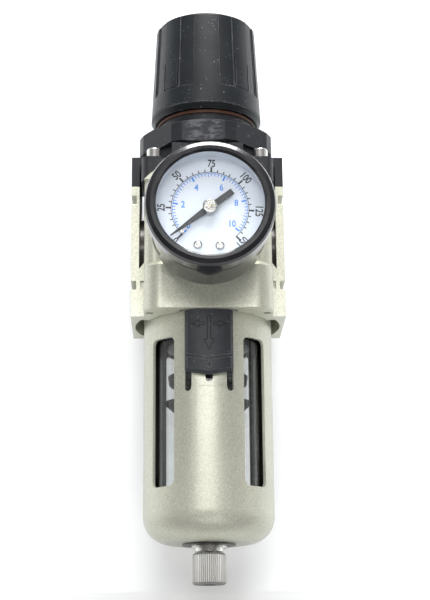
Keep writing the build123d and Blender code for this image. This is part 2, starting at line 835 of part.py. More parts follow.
def bowl_guard():
    """Guard with the slotted tongue that carries the lock button."""
    solid = guard_shell()
    length = lock_slot_high - lock_slot_low
    slot = Rot(90, 0, 0) * extrude(Rot(0, 0, 90) * SlotOverall(length, lock_slot_width), 2 * guard_radius)
    slot = Pos(0, 0, (lock_slot_low + lock_slot_high) / 2) * slot
    for angle in (lock_slot_angle, -lock_slot_angle):
        solid -= Rot(0, 0, angle) * slot
    skin = ring(guard_radius + 1, tongue_radius, tongue_low, lock_slot_high - lock_slot_width / 2)
    solid -= skin & wedge(-lock_slot_angle, lock_slot_angle, 2 * guard_radius, tongue_low, lock_slot_high)
    reach = (tongue_notch_low - spring_tab_low) / 2
    notch = Rot(90, 0, 0) * extrude(Rot(0, 0, 90) * SlotOverall(-2 * reach, tongue_notch_width), 2 * guard_radius)
    solid -= Pos(0, 0, tongue_notch_low - reach) * notch
    half = spring_pocket_half - running_gap
    tab_reach = guard_radius + 2 * loose_gap + 2 * lock_coil_radius - lock_wire
    return solid + block(-half - guard_wall, half + guard_wall, -tongue_radius, -tongue_radius + guard_wall / 2,
                         spring_tab_low, spring_tab_low + spring_tab_height) + block(
        -half, half, -tab_reach, -tongue_radius, spring_tab_low, spring_tab_low + spring_tab_height)


def lock_blank():
    """Curved lock body with rounded lower corners and bevelled edges."""
    half = lock_width / 2
    front = make_face(Polyline((-half, lock_top), (half, lock_top), (half, lock_side), (0, lock_point),
                               (-half, lock_side), close=True))
    corners = [corner for corner in front.vertices() if abs(corner.Y - lock_side) < seat_gap]
    front = fillet(corners, lock_corner)
    solid = ring(lock_outer, lock_inner, lock_point, lock_top) & extrude(Plane.XZ * front, 2 * lock_outer)
    skin = solid.faces().filter_by(GeomType.CYLINDER).sort_by(lambda face: face.radius)[-1]
    return chamfer([edge for edge in skin.edges() if edge.center().Z < lock_top - seat_gap], lock_bevel)


def lock_groove_cut():
    """Chevron groove across the front of the lock."""
    half, drop, width = lock_width / 2, lock_groove_side - lock_drop, lock_groove_width
    chevron = make_face(Polyline(
        (-half, lock_groove_side), (0, drop), (half, lock_groove_side), (half, lock_groove_side - width),
        (0, drop - width), (-half, lock_groove_side - width), close=True))
    return extrude(Plane.XZ * chevron, 2 * lock_outer) & ring(
        lock_outer + 1, lock_outer - lock_groove, lock_point, lock_top)


def lock_button():
    """Sliding lock with chevron groove, ring mark and two legs through the guard's slots."""
    solid = lock_blank() - lock_groove_cut()
    mark = Rot(90, 0, 0) * Cylinder(lock_dot_radius, lock_outer + lock_dot_rise, align=base)
    solid += Pos(0, 0, lock_dot_level) * mark - drum(lock_outer - lock_groove, lock_point, lock_top)
    bore = Rot(90, 0, 0) * Cylinder(lock_dot_bore, lock_outer + 1, align=base)
    solid -= Pos(0, 0, lock_dot_level) * bore - drum(lock_outer - lock_groove, lock_point, lock_top)
    leg = block(-lock_leg_width / 2, lock_leg_width / 2, -lock_inner - lock_groove, -bowl_radius - loose_gap,
                lock_leg_low, lock_leg_high)
    for angle in (lock_slot_angle, -lock_slot_angle):
        solid += Rot(0, 0, angle) * leg
    depth = guard_radius + loose_gap + 2 * lock_coil_radius + lock_wire
    return solid - block(-spring_pocket_half, spring_pocket_half, -depth, -tongue_radius,
                         spring_tab_low - loose_gap - spring_tab_height, spring_pocket_top)


def lock_spring():
    """Small spring that lifts the lock button."""
    spring = coil(lock_coil_radius, lock_wire, lock_turns, spring_tab_low + spring_tab_height, spring_pocket_top)
    return Pos(0, -tongue_radius - loose_gap - lock_coil_radius - lock_wire / 2, 0) * spring


def drain_body():
    """Threaded drain fitting through bowl and guard."""
    flange_top = bowl_inside + drain_flange
    solid = drum(drain_shank, drain_end, flange_top) + drum(drain_flange_radius, bowl_inside, flange_top)
    section = drain_seal_section + seat_gap
    solid -= ring(drain_seal_radius + section, drain_seal_radius - section, bowl_inside, bowl_inside + 2 * section)
    solid -= drum(drain_throat, drain_end, flange_top)
    return solid - drum(drain_cavity, drain_end, flange_top - drain_throat_length)


def drain_seal():
    """Ring seal under the drain fitting's flange."""
    level = bowl_inside + drain_seal_section + seat_gap
    return Pos(0, 0, level) * Torus(drain_seal_radius, drain_seal_section)


def drain_washer():
    """Dished washer under the guard."""
    bore, low = drain_shank + seat_gap, washer_low
    return turned([(bore, guard_bottom), (washer_radius, guard_bottom),
                   (washer_radius, guard_bottom - washer_dish), (washer_radius - washer_dish, low), (bore, low)])


def drain_nut():
    """Flanged nut that clamps bowl and guard together."""
    solid = drum(cock_nut_radius, cock_nut_low, washer_low) + drum(cock_collar_radius, cock_collar_low, washer_low)
    return solid - drum(drain_shank + seat_gap, cock_collar_low, washer_low)


def drain_stem():
    """Cone-tipped stem that closes the drain throat."""
    tip = bowl_inside + drain_flange - drain_throat_length - seat_gap
    shoulder = tip - cock_cone_length
    solid = drum(cock_stem_radius, cock_stem_low, shoulder)
    solid += turned([(0, shoulder), (cock_stem_radius, shoulder), (drain_throat / 2, tip), (0, tip)])
    solid -= drum(drain_throat / 2, cock_stem_low, shoulder - cock_cone_length)
    cross = along_x(drain_throat / 2, -cock_stem_radius, cock_stem_radius, shoulder - cock_cone_length)
    return solid - cross


def drain_knob():
    """Knurled drain knob with its outlet hole."""
    points = []
    for i in range(2 * cock_ridges):
        radius = cock_radius - (i % 2) * cock_ridge_depth
        points.append((radius * cos(pi * i / cock_ridges), radius * sin(pi * i / cock_ridges)))
    grip = Pos(0, 0, cock_bottom) * extrude(make_face(Polyline(*points, close=True)), cock_top - cock_bottom)
    rim = cock_radius - cock_bevel
    grip &= turned([(0, cock_bottom), (rim, cock_bottom), (cock_radius, cock_bottom + cock_bevel),
                    (cock_radius, cock_top - cock_bevel), (rim, cock_top), (0, cock_top)])
    grip -= drum(cock_stem_radius + running_gap, cock_stem_low - running_gap, cock_top)
    return grip - drum(cock_outlet_radius, cock_bottom, cock_stem_low)


def gauge_stem():
    """Threaded stem and wrench hexagon behind the gauge."""
    back = gauge_boss_face - gauge_thread_depth + 1
    solid = Pos(0, 0, back) * Cylinder(gauge_thread_radius - seat_gap, case_back - back, align=base)
    hexagon = RegularPolygon(hex_flat / 2, 6, major_radius=False)
    solid += Pos(0, 0, hex_back) * extrude(hexagon, case_back - hex_back)
    return facing(solid - drum(gauge_pass_radius, back, case_back))


def gauge_case():
    """Drawn case with a rounded back and a crimp line."""
    outer = fillet(drum(case_radius, case_back, case_front).edges().sort_by(Axis.Z)[0], case_round)
    outer -= ring(case_radius + 1, case_radius - crimp_depth, crimp_level, crimp_level + 2 * crimp_depth)
    inner = drum(case_radius - case_wall, case_back + case_wall, case_front)
    return facing(outer - fillet(inner.edges().sort_by(Axis.Z)[0], case_round - case_wall))


def gauge_bezel():
    """Turned front ring that holds the lens."""
    step = lens_front + running_gap
    rim = case_radius + seat_gap
    return facing(turned([
        (rim, bezel_back), (bezel_radius - bezel_roll, bezel_back), (bezel_radius, bezel_back + 2 * bezel_roll),
        (bezel_radius, bezel_shoulder),
        (bezel_radius - 0.5, bezel_front - 0.6), (bezel_flat_radius, bezel_front),
        (bezel_opening + 0.7, bezel_front), (bezel_opening, bezel_front - 0.8), (bezel_opening, step),
        (lens_radius + seat_gap, step), (lens_radius + seat_gap, case_front + seat_gap),
        (rim, case_front + seat_gap)]))


def gauge_lens():
    """Clear flat lens."""
    return facing(drum(lens_radius, lens_front - lens_thickness, lens_front))


def gauge_dial():
    """Dished dial plate with its spindle hole and raised rim."""
    rim_top = lens_front - lens_thickness - running_gap
    plate = drum(dial_radius, dial_face - dial_thickness, rim_top)
    plate -= drum(dial_radius - dial_rim, dial_face, rim_top)
    return facing(plate - drum(dial_hole, dial_face - dial_thickness, dial_face))


def dial_screws():
    """Two domed screws that fix the dial."""
    screw = drum(dial_screw_radius, dial_face, dial_face + dial_screw_height)
    screw = fillet(screw.edges().sort_by(Axis.Z)[-1], dial_screw_height * 0.8)
    return Compound([facing(Rot(0, 0, dial_turn) * Pos(x, -dial_screw_drop, 0) * screw)
                     for x in (-dial_screw_x, dial_screw_x)])


def stop_pin():
    """Pin that the needle rests against at zero."""
    x, y = pin_reach * cos(radians(pin_angle)), pin_reach * sin(radians(pin_angle))
    return facing(post(x, y, pin_radius, dial_face, dial_face + pin_height))


def needle():
    """Flat needle with a counterweight tail, drawn along X and turned to zero."""
    root, tail, tip = needle_root_width / 2, needle_tail_width / 2, needle_tip_width / 2
    outline = make_face(Polyline(
        (-needle_tail, -tail), (0, -tail), (hub_cap_radius, -root), (needle_tip, -tip), (needle_tip, tip),
        (hub_cap_radius, root), (0, tail), (-needle_tail, tail), close=True))
    blade = Pos(0, 0, needle_back) * extrude(outline, needle_thickness)
    blade -= drum(spindle_radius, needle_back, needle_back + needle_thickness)
    return facing(Rot(0, 0, needle_rest) * blade)


def needle_hub():
    """Hub cap and spindle that turn with the needle."""
    low = needle_back + needle_thickness
    cap = drum(hub_cap_radius, low, low + hub_cap_height)
    cap = fillet(cap.edges().sort_by(Axis.Z)[-1], hub_cap_height / 3)
    cap += drum(hub_collar_radius, dial_face + running_gap, needle_back)
    return facing(cap + drum(spindle_radius, movement_back + movement_plate + movement_gap, low))


def gauge_movement():
    """Two plates on pillars that carry the spindle and sector."""
    half_w, half_h = movement_width / 2, movement_height / 2
    front = movement_back + movement_plate + movement_gap
    solid = block(-half_w, half_w, -half_h, half_h, movement_back, movement_back + movement_plate)
    solid += block(-half_w, half_w, -half_h, half_h, front, front + movement_plate)
    for x, y in four(half_w - movement_plate, half_h - movement_plate):
        solid += post(x, y, movement_plate, movement_back, front)
    solid += drum(hex_flat / 2, case_back + case_wall, movement_back)
    return facing(solid - drum(spindle_radius + running_gap, front, front + movement_plate))


def bourdon_tube():
    """Curved pressure tube round the movement."""
    start = (180 - tube_sweep) / 2
    path = CenterArc((0, 0, 0), tube_path_radius, start, tube_sweep)
    section = Plane(path @ 0, z_dir=path % 0) * Ellipse(tube_section, tube_section / 2)
    return facing(Pos(0, 0, movement_back + movement_plate) * sweep(section, path))


parts = {
    "body": body,
    "bonnet": bonnet,
    "bonnet_screws": bonnet_screws,
    "ring_nut": ring_nut,
    "indicator_ring": indicator_ring,
    "adjust_screw": adjust_screw,
    "spring_seat": spring_seat,
    "main_spring": main_spring,
    "knob": knob,
    "diaphragm": diaphragm,
    "diaphragm_plate": diaphragm_plate,
    "relief_seat": relief_seat,
    "valve_stem": valve_stem,
    "valve_rubber": valve_rubber,
    "valve_spring": valve_spring,
    "valve_guide": valve_guide,
    "gauge_port_plug": gauge_port_plug,
    "deflector": deflector,
    "filter_element": filter_element,
    "element_holder": element_holder,
    "lower_baffle": lower_baffle,
    "centre_bolt": centre_bolt,
    "bowl_seal": bowl_seal,
    "bowl": bowl,
    "bowl_guard": bowl_guard,
    "lock_button": lock_button,
    "lock_spring": lock_spring,
    "drain_body": drain_body,
    "drain_seal": drain_seal,
    "drain_washer": drain_washer,
    "drain_nut": drain_nut,
    "drain_stem": drain_stem,
    "drain_knob": drain_knob,
    "gauge_stem": gauge_stem,
    "gauge_case": gauge_case,
    "gauge_bezel": gauge_bezel,
    "gauge_lens": gauge_lens,
    "gauge_dial": gauge_dial,
    "dial_screws": dial_screws,
    "stop_pin": stop_pin,
    "needle": needle,
    "needle_hub": needle_hub,
    "gauge_movement": gauge_movement,
    "bourdon_tube": bourdon_tube,
}

os.makedirs("parts", exist_ok=True)
for name, make in parts.items():
    export_step(make(), f"parts/{name}.step")
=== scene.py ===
"""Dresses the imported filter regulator: finishes, dial printing, threads, lights and camera."""
import json
from math import radians, sqrt

import bmesh
import bpy
from mathutils import Matrix, Vector


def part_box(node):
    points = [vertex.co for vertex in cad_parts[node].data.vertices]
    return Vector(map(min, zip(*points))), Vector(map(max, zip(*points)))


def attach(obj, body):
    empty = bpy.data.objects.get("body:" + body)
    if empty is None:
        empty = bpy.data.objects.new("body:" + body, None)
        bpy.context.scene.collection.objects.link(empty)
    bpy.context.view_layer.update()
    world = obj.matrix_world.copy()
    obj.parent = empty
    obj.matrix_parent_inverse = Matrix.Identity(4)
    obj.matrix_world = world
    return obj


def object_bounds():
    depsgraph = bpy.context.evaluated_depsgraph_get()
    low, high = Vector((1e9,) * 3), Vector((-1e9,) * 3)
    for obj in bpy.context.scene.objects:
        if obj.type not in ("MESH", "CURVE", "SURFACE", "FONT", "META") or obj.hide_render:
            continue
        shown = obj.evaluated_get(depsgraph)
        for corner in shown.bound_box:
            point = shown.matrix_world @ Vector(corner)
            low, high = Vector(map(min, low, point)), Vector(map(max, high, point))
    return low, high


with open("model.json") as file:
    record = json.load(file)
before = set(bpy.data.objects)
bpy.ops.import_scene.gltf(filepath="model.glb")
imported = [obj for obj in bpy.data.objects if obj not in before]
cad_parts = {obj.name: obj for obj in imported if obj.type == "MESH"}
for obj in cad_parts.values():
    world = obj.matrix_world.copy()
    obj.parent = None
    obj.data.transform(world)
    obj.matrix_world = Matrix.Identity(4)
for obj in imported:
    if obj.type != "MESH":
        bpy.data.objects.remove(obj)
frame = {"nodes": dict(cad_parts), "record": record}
cad_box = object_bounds()
nodes = frame["nodes"]
MM = 0.001

# Camera, at the photograph's place and angle

camera_data = bpy.data.cameras.new("camera")
camera = bpy.data.objects.new("camera", camera_data)
bpy.context.scene.collection.objects.link(camera)
camera_data.lens = 79.386
camera_data.sensor_width = 36.0
camera.matrix_world = Matrix((
    (0.99969063, 0.0016945, -0.0248148, -0.008905),
    (-0.02336991, -0.2775291, -0.96043295, -0.449584),
    (-0.00851428, 0.96071574, -0.27740364, -0.146399),
    (0, 0, 0, 1)))
bpy.context.scene.camera = camera
bpy.context.scene.view_settings.view_transform = "Standard"


# Shader arithmetic

class Wire:
    """A number or colour in a finish, used in plain arithmetic."""

    def __init__(self, finish, socket):
        self.finish = finish
        self.socket = socket

    def __add__(self, other):
        return self.finish.sum("ADD", self, other)

    def __sub__(self, other):
        return self.finish.sum("SUBTRACT", self, other)

    def __rsub__(self, other):
        return self.finish.sum("SUBTRACT", other, self)

    def __mul__(self, other):
        return self.finish.sum("MULTIPLY", self, other)

    def __pow__(self, other):
        return self.finish.sum("POWER", self, other)

    __radd__ = __add__
    __rmul__ = __mul__

    def ramp(self, low, high):
        """0 at low, 1 at high, smooth between them."""
        return self.finish.add("ShaderNodeMapRange", {"interpolation_type": "SMOOTHSTEP"},
                               {"Value": self, "From Min": low, "From Max": high})

    def clear(self):
        """The same number held between 0 and 1."""
        return self.finish.add("ShaderNodeClamp", {}, {"Value": self})


class Finish:
    """A material with one main shader and short ways to vary it over the surface."""

    def __init__(self, name, colour, roughness, **fixed):
        self.material = bpy.data.materials.new(name)
        self.material.use_nodes = True
        self.tree = self.material.node_tree
        self.shader = self.tree.nodes["Principled BSDF"]
        self.output = self.tree.nodes["Material Output"]
        self.set("Base Color", (*colour, 1))
        self.set("Roughness", roughness)
        for socket, value in fixed.items():
            self.set(socket.replace("_", " "), value)
        self.place = self.add("ShaderNodeTexCoord", {}, {}, "Object")

    def add(self, kind, settings, inputs, output=0):
        """Adds one node: its settings first, then its sockets."""
        node = self.tree.nodes.new(kind)
        for name, value in settings.items():
            setattr(node, name, value)
        for name, value in inputs.items():
            socket = node.inputs[name]
            if isinstance(value, Wire):
                self.tree.links.new(value.socket, socket)
            else:
                socket.default_value = value
        return Wire(self, node.outputs[output])

    def sum(self, operation, *values):
        return self.add("ShaderNodeMath", {"operation": operation}, dict(enumerate(values)))

    def set(self, name, value):
        socket = self.shader.inputs[name]
        if isinstance(value, Wire):
            self.tree.links.new(value.socket, socket)
        else:
            socket.default_value = value

    def grain(self, size, detail=2.0, roughness=0.5, stretch=(1, 1, 1)):
        """Noise with features of the given size in metres, about 0 to 1."""
        place = self.place
        if stretch != (1, 1, 1):
            place = self.add("ShaderNodeMapping", {}, {"Vector": place, "Scale": stretch})
        return self.add("ShaderNodeTexNoise", {}, {
            "Vector": place, "Scale": 1 / size, "Detail": detail, "Roughness": roughness})

    def axis(self, name):
        """The X, Y or Z place on the part, in metres."""
        return self.add("ShaderNodeSeparateXYZ", {}, {"Vector": self.place}, name)

    def radius(self):
        """Distance from the upright axis, in metres."""
        return (self.axis("X") ** 2 + self.axis("Y") ** 2) ** 0.5

    def tint(self, factor, first, second):
        """Blends two colours."""
        first = first if isinstance(first, Wire) else (*first, 1)
        second = second if isinstance(second, Wire) else (*second, 1)
        return self.add("ShaderNodeMix", {"data_type": "RGBA"}, {0: factor, 6: first, 7: second}, 2)

    def edges(self, radius):
        """1 on outer and inner edges, 0 on flats."""
        round_normal = self.add("ShaderNodeBevel", {"samples": 4}, {"Radius": radius})
        true_normal = self.add("ShaderNodeNewGeometry", {}, {}, "True Normal")
        match = self.add("ShaderNodeVectorMath", {"operation": "DOT_PRODUCT"},
                         {0: round_normal, 1: true_normal}, "Value")
        return (1 - match).ramp(0.01, 0.2)

    def soften(self, radius, height=None, depth=0.0001, strength=1.0):
        """Rounds sharp edges by radius and adds a fine relief."""
        normal = self.add("ShaderNodeBevel", {"samples": 4}, {"Radius": radius})
        if height is not None:
            normal = self.add("ShaderNodeBump", {}, {
                "Strength": strength, "Distance": depth, "Height": height, "Normal": normal})
        self.set("Normal", normal)


def dress(finish, *names):
    """Gives a finish to CAD nodes."""
    for name in names:
        mesh = nodes[name].data
        mesh.materials.clear()
        mesh.materials.append(finish.material)


# Finishes, with lengths in metres

guard_bore = 0.02112
guard_bore_fade = 0.0002
guard_dark_low = -0.0895
guard_dark_fade = 0.001
slot_inner = 0.0218
slot_outer = 0.0238
slot_fade = 0.00008
slot_depth = 0.0125
slot_low = -0.0112
slot_end_fade = 0.002
patch_width = 0.004
patch_fade = 0.0035
patch_front = -0.021
patch_back = -0.019
cock_radius = 0.0059
knurl_depth = 0.0003
bead_size = 0.00035


def shade(colour, share):
    """The same colour made darker or lighter, up to white."""
    return tuple(min(1, c * share) for c in colour)


def inside_guard(finish):
    """1 on the inner wall of the guard, which the paint makes darker."""
    bore = 1 - finish.radius().ramp(guard_bore, guard_bore + guard_bore_fade)
    return bore * finish.axis("Z").ramp(guard_dark_low, guard_dark_low + guard_dark_fade)


def inside_slots(finish):
    """1 in the narrow slots behind the clamp flanges, where the paint takes painted shade."""
    across = finish.sum("ABSOLUTE", finish.axis("X"))
    depth = finish.sum("ABSOLUTE", finish.axis("Y"))
    inner = across.ramp(slot_inner, slot_inner + slot_fade)
    outer = 1 - across.ramp(slot_outer - slot_fade, slot_outer)
    ends = 1 - depth.ramp(slot_depth, slot_depth + slot_end_fade)
    return inner * outer * ends * finish.axis("Z").ramp(slot_low, slot_low + slot_end_fade)


def paint(name, colour, roughness, darkened_mask):
    """Fine-grained metallic paint over a die casting, brown-black where the mask is 1: painted shade in the
    clamp slots, a darker inner wall in the guard.
    """
    finish = Finish(name, colour, roughness, Metallic=0.5, Coat_Weight=0.3, Coat_Roughness=0.14)
    speck = finish.grain(0.0004, 2.0, 0.7)
    cloud = finish.grain(0.012, 3.0)
    worn = finish.edges(0.00035)
    dark = shade(colour, 0.83)
    light = shade(colour, 1.2)
    base = finish.tint(speck.ramp(0.3, 0.7), dark, light)
    base = finish.tint((cloud.ramp(0.35, 0.65) * 0.18).clear(), base, shade(colour, 0.86))
    base = finish.tint(worn * cloud.ramp(0.4, 0.6) * 0.35, base, (0.72, 0.71, 0.66))
    # painted shade: brown-black in the masked places (clamp slots; the guard's inner wall takes the same
    # darker tone)
    base = finish.tint(darkened_mask(finish), base, (0.055, 0.047, 0.040))
    finish.set("Base Color", base)
    finish.set("Roughness", roughness + 0.12 * (speck - 0.5) + 0.08 * (cloud - 0.5))
    finish.soften(0.00025, speck, 0.00002, 0.5)
    return finish


def moulded(name, colour, roughness=0.45, grain_size=0.0003, relief=0.00002, edge_scuff_and_highlight=0.3, edge=0.0003,
            rubbed=0):
    """Glass-filled black plastic with a fine spark grain, dust, and lighter edges that are partly scuffs and
    partly painted highlight.
    """
    finish = Finish(name, colour, roughness, Specular_IOR_Level=0.35)
    fine = finish.grain(grain_size, 2.0)
    cloud = finish.grain(0.009, 3.0)
    streak = finish.grain(0.0012, 4.0, 0.6, (1, 1, 0.12))
    worn = finish.edges(edge)
    dust = finish.grain(0.0006, 0.0).ramp(0.79, 0.83) * cloud.ramp(0.3, 0.6)
    base = finish.tint(fine.ramp(0.3, 0.75), shade(colour, 0.8), shade(colour, 1.3))
    base = finish.tint((cloud.ramp(0.4, 0.75) * 0.3).clear(), base, shade(colour, 1.7))
    # lighter edges: scuffed wear mixed with a painted highlight along edges and panel lines
    scuff_and_edge_highlight = (worn * (0.4 + 0.6 * streak.ramp(0.45, 0.62)) * edge_scuff_and_highlight).clear()
    base = finish.tint(scuff_and_edge_highlight, base, (0.26, 0.265, 0.28))
    base = finish.tint((dust * 0.6).clear(), base, (0.30, 0.31, 0.33))
    if rubbed:
        strokes = finish.grain(0.0016, 4.0, 0.65, (0.35, 1, 1)).ramp(0.46, 0.62)
        across = finish.sum("ABSOLUTE", finish.axis("X") - rubbed)
        front = 1 - finish.axis("Y").ramp(patch_front, patch_back)
        patch = (1 - across.ramp(patch_width, patch_width + patch_fade)) * front * strokes
        base = finish.tint(patch * 0.75, base, (0.10, 0.105, 0.115))
    finish.set("Base Color", base)
    finish.set("Roughness", (roughness + 0.16 * (fine - 0.5) + 0.14 * (cloud - 0.5) - 0.1 * worn).clear())
    finish.soften(0.0002, fine, relief, 0.6)
    return finish


def turned_metal(name, colour, roughness, size=0.00012, stain=0.25, stretch=(0.08, 0.08, 1)):
    """Turned or drawn metal with fine tool marks and slight staining."""
    finish = Finish(name, colour, roughness, Metallic=1.0)
    marks = finish.grain(size, 3.0, 0.6, stretch)
    cloud = finish.grain(0.003, 3.0)
    base = finish.tint((cloud.ramp(0.4, 0.75) * stain).clear(), colour, shade(colour, 0.7))
    finish.set("Base Color", base)
    finish.set("Roughness", (roughness + 0.12 * (marks - 0.5) + 0.1 * (cloud - 0.5)).clear())
    finish.soften(0.00012, marks, 0.000002, 0.3)
    return finish


def knurled(name, colour, outer, depth):
    """Plated knurl, darker and rougher in its grooves."""
    finish = Finish(name, colour, 0.36, Metallic=0.35)
    crest = finish.radius().ramp(outer - depth, outer - depth * 0.25)
    cloud = finish.grain(0.002, 3.0)
    base = finish.tint((cloud.ramp(0.4, 0.75) * 0.25).clear(), colour, shade(colour, 0.8))
    finish.set("Base Color", finish.tint(crest, shade(colour, 0.45), base))
    finish.set("Roughness", (0.5 - 0.16 * crest + 0.1 * (cloud - 0.5)).clear())
    return finish


def see_through(name, colour, tint_depth):
    """Clear plastic or glass: passes light straight on and reflects at its faces."""
    finish = Finish(name, colour, 0.0, Transmission_Weight=1.0, IOR=1.45)
    smear = finish.grain(0.006, 3.0)
    smeared = smear.ramp(0.3, 0.8) * tint_depth
    finish.set("Base Color", finish.tint(smeared, colour, shade(colour, 0.85)))
    path = finish.add("ShaderNodeLightPath", {}, {}, "Is Shadow Ray")
    bare = finish.add("ShaderNodeBsdfTransparent", {}, {"Color": (*shade(colour, 0.95), 1)})
    shader = Wire(finish, finish.shader.outputs[0])
    both = finish.add("ShaderNodeMixShader", {}, {0: path, 1: shader, 2: bare})
    finish.tree.links.new(both.socket, finish.output.inputs["Surface"])
    return finish


def soft(name, colour):
    """Rubber with a fine tooth and a pale bloom."""
    finish = Finish(name, colour, 0.7)
    tooth = finish.grain(0.0002, 2.0)
    bloom = finish.grain(0.004, 3.0)
    base = finish.tint(tooth.ramp(0.3, 0.7), shade(colour, 0.8), shade(colour, 1.3))
    bloomed = (bloom.ramp(0.45, 0.8) * 0.3).clear()
    finish.set("Base Color", finish.tint(bloomed, base, shade(colour, 2)))
    finish.set("Roughness", (0.7 + 0.15 * (tooth - 0.5)).clear())
    finish.soften(0.0001, tooth, 0.00002, 0.4)
    return finish


def gloss(name, colour, roughness, wear):
    """Smooth stoved lacquer with faint orange peel and rubbed edges."""
    finish = Finish(name, colour, roughness, Coat_Weight=0.5, Coat_Roughness=0.08)
    peel = finish.grain(0.0016, 1.0)
    cloud = finish.grain(0.007, 3.0)
    worn = finish.edges(0.0003)
    base = finish.tint(cloud.ramp(0.35, 0.7), colour, shade(colour, 1.6))
    rubbed = (worn * cloud.ramp(0.3, 0.6) * wear).clear()
    finish.set("Base Color", finish.tint(rubbed, base, (0.22, 0.21, 0.20)))
    finish.set("Roughness", (roughness + 0.08 * (cloud - 0.5)).clear())
    finish.soften(0.0002, peel, 0.000004, 0.3)
    return finish


def enamel(name, colour):
    """Even white dial paint."""
    finish = Finish(name, colour, 0.45)
    speck = finish.grain(0.0005, 1.0)
    cloud = finish.grain(0.01, 2.0)
    base = finish.tint(cloud.ramp(0.3, 0.7), colour, shade(colour, 0.965))
    finish.set("Base Color", finish.tint(speck.ramp(0.45, 0.8) * 0.3, base, shade(colour, 0.95)))
    finish.set("Roughness", 0.45 + 0.1 * (speck - 0.5))
    return finish


def ink(name, colour):
    """Printed ink with a slightly uneven cover."""
    finish = Finish(name, colour, 0.5)
    speck = finish.grain(0.0002, 2.0)
    thin = tuple(min(1, c * 1.6 + 0.03) for c in colour)
    finish.set("Base Color", finish.tint(speck.ramp(0.55, 0.8) * 0.35, colour, thin))
    return finish


def sintered(name, colour):
    """Sintered beads of the filter element."""
    finish = Finish(name, colour, 0.8)
    beads = finish.add("ShaderNodeTexVoronoi", {"feature": "F1"},
                       {"Vector": finish.place, "Scale": 1 / bead_size}, "Distance")
    soil = finish.grain(0.006, 3.0)
    base = finish.tint(beads.ramp(0.2, 0.75), shade(colour, 1.05), shade(colour, 0.55))
    finish.set("Base Color", finish.tint((soil.ramp(0.5, 0.8) * 0.35).clear(), base, (0.55, 0.52, 0.45)))
    finish.soften(0.0001, 1 - beads, 0.0001, 0.7)
    return finish


champagne = paint("champagne_paint", (0.58, 0.58, 0.475), 0.39, inside_slots)
guard_paint = paint("guard_paint", (0.58, 0.58, 0.475), 0.40, inside_guard)
black_plastic = moulded("black_plastic", (0.015, 0.016, 0.019), 0.36)
nut_plastic = moulded("nut_plastic", (0.015, 0.016, 0.019), 0.36, edge_scuff_and_highlight=0.5, rubbed=-0.001)
# knob and lock take strong lighter edges: painted highlight on their panel lines and bevels, partly scuffs
knob_plastic = moulded("knob_plastic", (0.010, 0.012, 0.014), 0.35, 0.00035, 0.00003, 0.9)
lock_plastic = moulded("lock_plastic", (0.026, 0.028, 0.032), 0.42, 0.0004, 0.00003, 0.8, 0.0005)
grey_plastic = moulded("grey_plastic", (0.06, 0.06, 0.065), 0.4)
# the orange ring's colour is darkened to a dark brown: painted shade from the knob's lip over it
orange_plastic = moulded("orange_plastic", (0.075, 0.030, 0.016), 0.45, edge_scuff_and_highlight=0.1)
clear_plastic = see_through("clear_plastic", (0.93, 0.95, 0.95), 0.5)
clear_glass = see_through("clear_glass", (0.985, 0.99, 0.99), 0.2)
dial_white = enamel("dial_white", (0.54, 0.58, 0.64))
bezel_black = gloss("bezel_black", (0.008, 0.008, 0.010), 0.25, 0.6)
case_black = gloss("case_black", (0.010, 0.010, 0.011), 0.1, 0.2)
needle_black = moulded("needle_black", (0.03, 0.031, 0.034), 0.5, edge_scuff_and_highlight=0.1)
nickel = turned_metal("nickel", (0.86, 0.845, 0.81), 0.27, stain=0.2)
screw_steel = turned_metal("screw_steel", (0.76, 0.75, 0.72), 0.25, stain=0.2)
spring_steel = turned_metal("spring_steel", (0.45, 0.45, 0.46), 0.3)
dark_steel = turned_metal("dark_steel", (0.16, 0.16, 0.15), 0.38)
zinc_plate = turned_metal("zinc_plate", (0.62, 0.60, 0.50), 0.32)
brass = turned_metal("brass", (0.72, 0.55, 0.28), 0.3)
polished = turned_metal("polished_nickel", (0.50, 0.49, 0.465), 0.24, 0.003, stain=0.12, stretch=(1, 1, 1))
cock_knurl = knurled("cock_knurl", (0.95, 0.93, 0.89), cock_radius, knurl_depth)
rubber = soft("rubber", (0.028, 0.028, 0.030))
filter_media = sintered("filter_media", (0.82, 0.82, 0.78))

finishes = {
    "champagne_paint": champagne, "black_plastic": black_plastic, "knob_plastic": knob_plastic,
    "orange_plastic": orange_plastic, "grey_plastic": grey_plastic, "clear_plastic": clear_plastic,
    "clear_glass": clear_glass, "dial_white": dial_white, "bezel_black": bezel_black,
    "needle_black": needle_black, "case_black": case_black, "nickel": nickel, "screw_steel": screw_steel,
    "spring_steel": spring_steel, "dark_steel": dark_steel, "zinc_plate": zinc_plate, "brass": brass,
    "rubber": rubber, "filter_media": filter_media}
for node in frame["record"]["subparts"]:
    dress(finishes[node["material_slot"]], node["node"])
dress(lock_plastic, "lock_button")
dress(guard_paint, "bowl_guard")
dress(nut_plastic, "ring_nut")
dress(polished, "needle_hub", "dial_screws", "stop_pin")
dress(cock_knurl, "drain_knob")


# Pieces added to the part

seam_gap = 0.000002


def piece(name, mesh_tool, finish, body, smooth=True):
    """Turns a finished bmesh into an object that rides on a body."""
    mesh = bpy.data.meshes.new(name)
    mesh_tool.to_mesh(mesh)
    mesh_tool.free()
    mesh.materials.append(finish.material)
    for face in mesh.polygons:
        face.use_smooth = smooth
    made = bpy.data.objects.new(name, mesh)
    bpy.context.scene.collection.objects.link(made)
    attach(made, body)
    return made


def settle(mesh_tool):
    """Closes seams and points the faces outwards."""
    bmesh.ops.remove_doubles(mesh_tool, verts=mesh_tool.verts, dist=seam_gap)
    bmesh.ops.recalc_face_normals(mesh_tool, faces=mesh_tool.faces)


